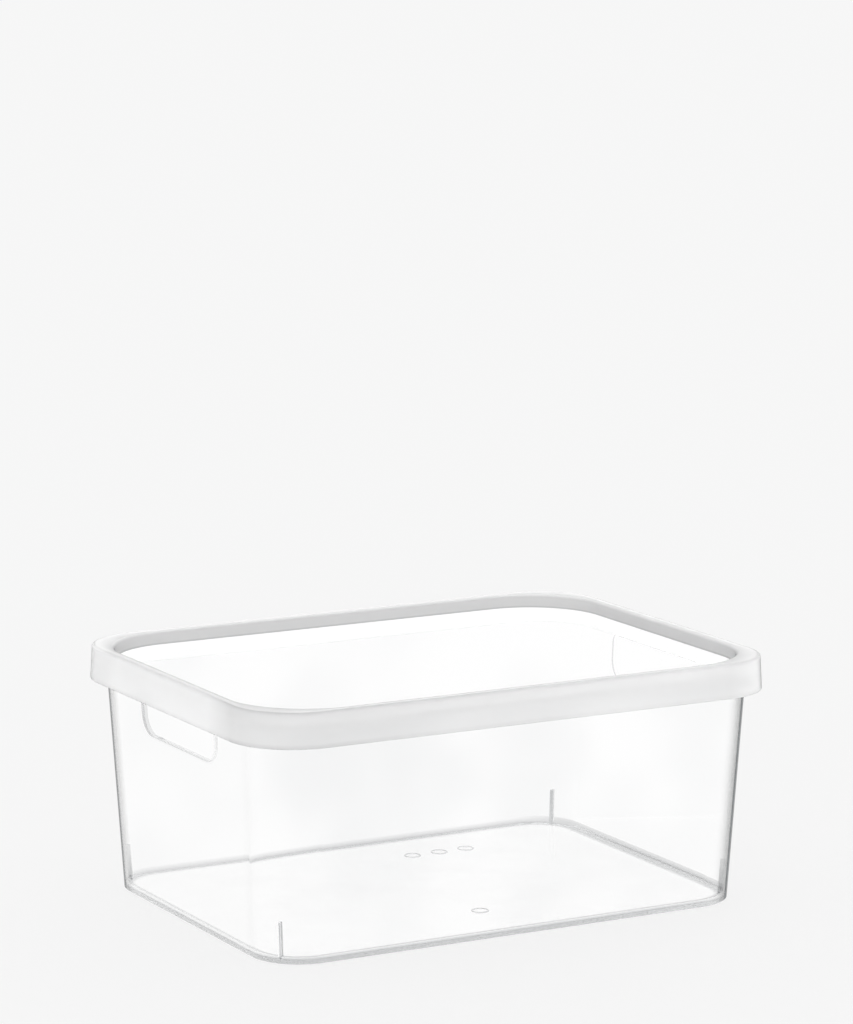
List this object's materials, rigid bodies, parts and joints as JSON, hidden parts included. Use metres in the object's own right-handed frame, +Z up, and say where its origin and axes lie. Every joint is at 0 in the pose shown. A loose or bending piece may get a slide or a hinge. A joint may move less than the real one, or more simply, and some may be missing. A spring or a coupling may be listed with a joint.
{
  "type": "clear storage box with lid",
  "caption": "Clear tapered storage box with rounded corners and end hand holes, closed by a lift-off lid with a frosted raised rim and a recessed clear panel.",
  "frame": {"origin": "centre of the flat face that the box stands on", "axes": "+Z up, +X along the longer side, +Y along the shorter side; the picture is taken from -X, -Y and above"},
  "size_m": [0.3598, 0.2704, 0.1545],
  "materials": {
    "clear_plastic": "clear, polished moulded plastic",
    "frosted_plastic": "milky translucent moulded plastic with a fine matt texture"
  },
  "bodies": {
    "box": {"box": "clear_plastic"},
    "lid": {"lid_rim": "frosted_plastic", "lid_panel": "clear_plastic"}
  },
  "joints": [
    {"name": "lid_lift", "type": "slide", "parent": "box", "child": "lid", "axis": [0, 0, 1], "range_m": [0, 0.2]}
  ]
}
